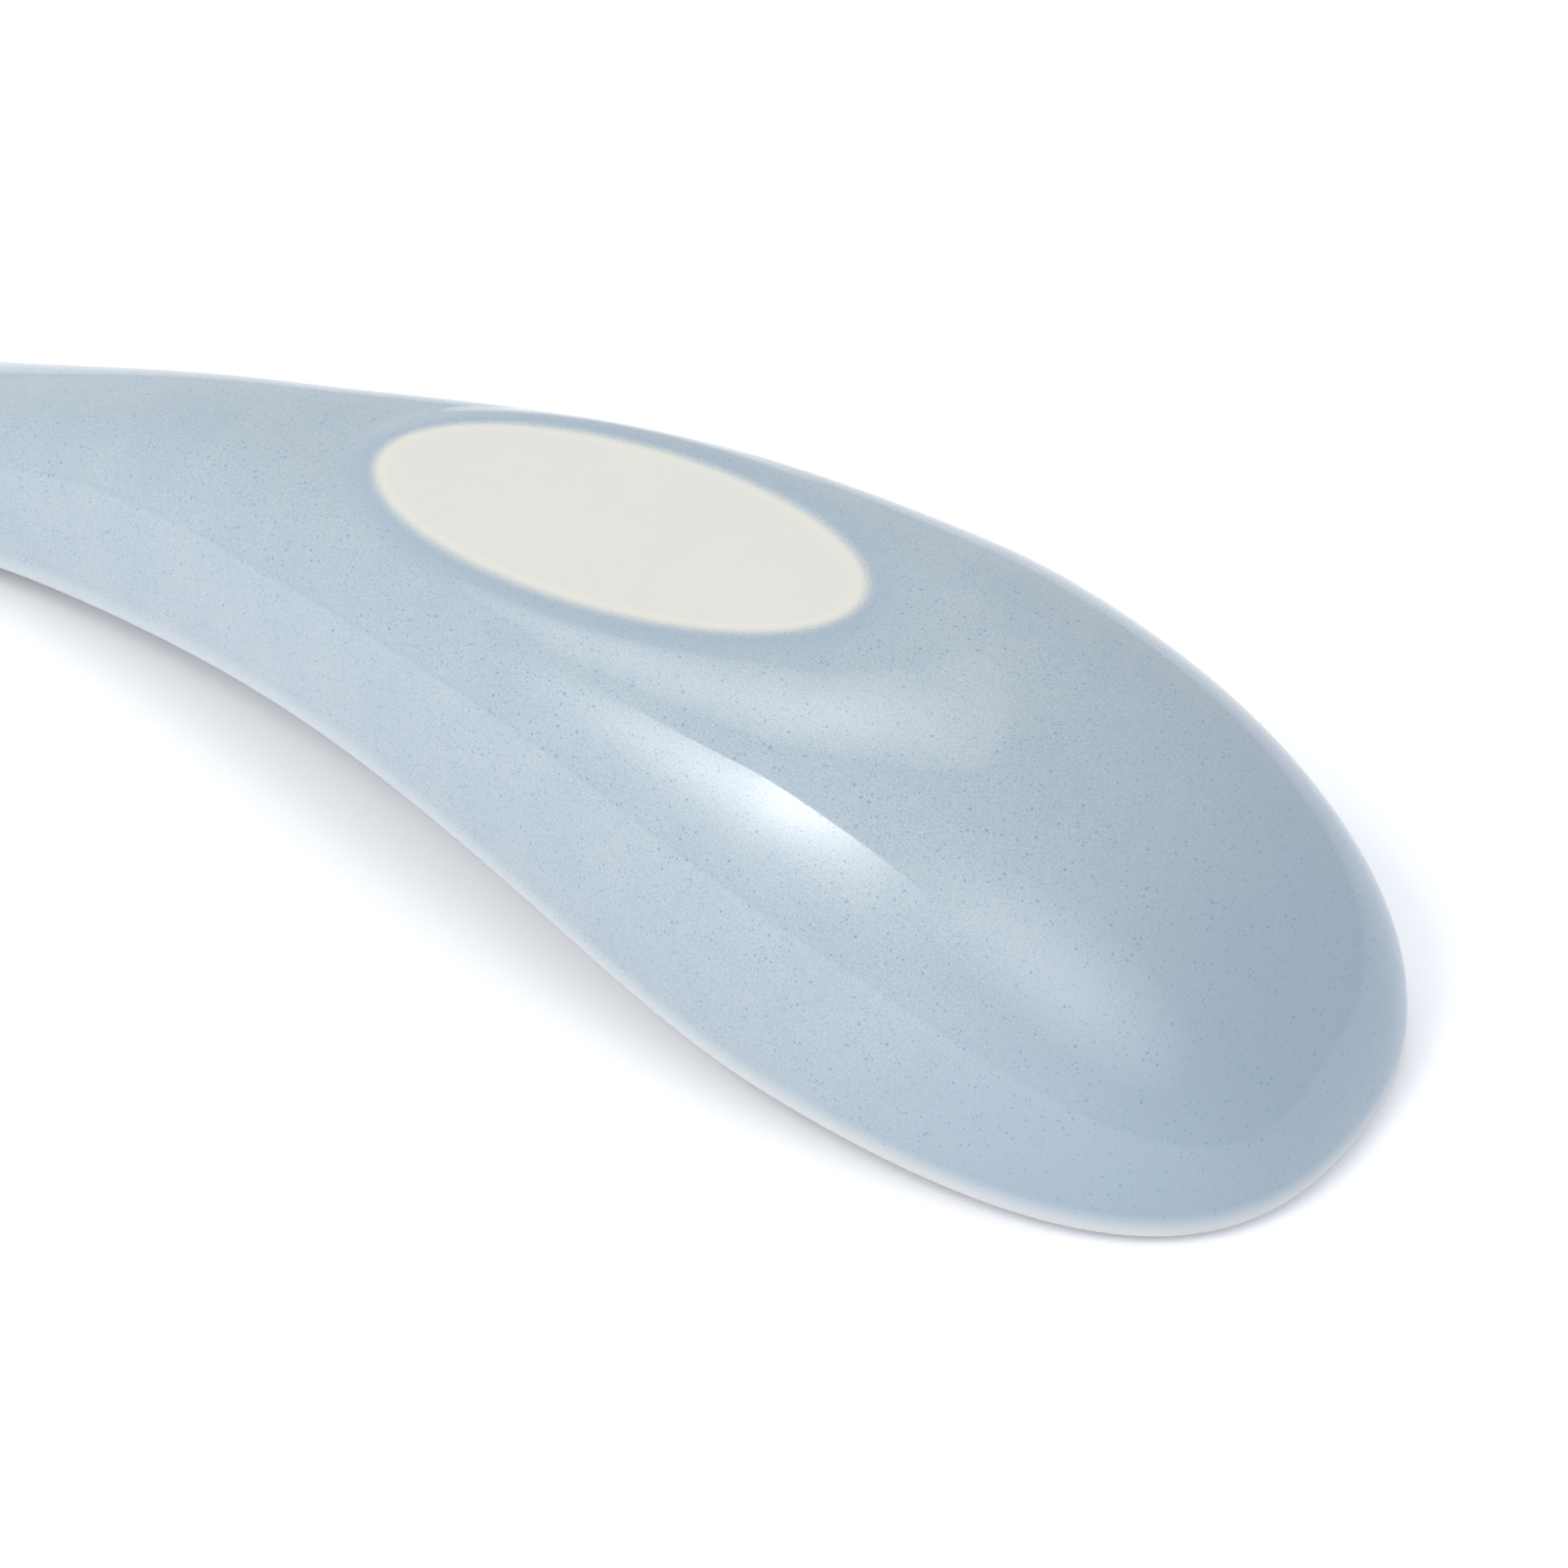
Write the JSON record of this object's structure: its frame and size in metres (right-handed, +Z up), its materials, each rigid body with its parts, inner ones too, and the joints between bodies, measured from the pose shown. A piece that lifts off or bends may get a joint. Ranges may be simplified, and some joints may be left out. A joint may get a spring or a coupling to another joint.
{
  "type": "soup spoon",
  "caption": "Glazed porcelain soup spoon lying face down: deep drop-shaped bowl, channelled handle, bare oval foot on its back.",
  "frame": {"origin": "on the surface the spoon lies on, below the middle of its length", "axes": "+X from the butt of the handle to the nose of the bowl, +Z up, with the spoon lying face down and its foot facing up; the XZ plane is its plane of symmetry"},
  "size_m": [0.16, 0.0482, 0.0301],
  "materials": {
    "bare_porcelain": "fired, unglazed, matt",
    "blue_glaze": "pale grey-blue glaze with fine specks, semi-gloss"
  },
  "bodies": {
    "root": {"porcelain_body": "bare_porcelain", "glaze_coat": "blue_glaze"}
  },
  "joints": []
}
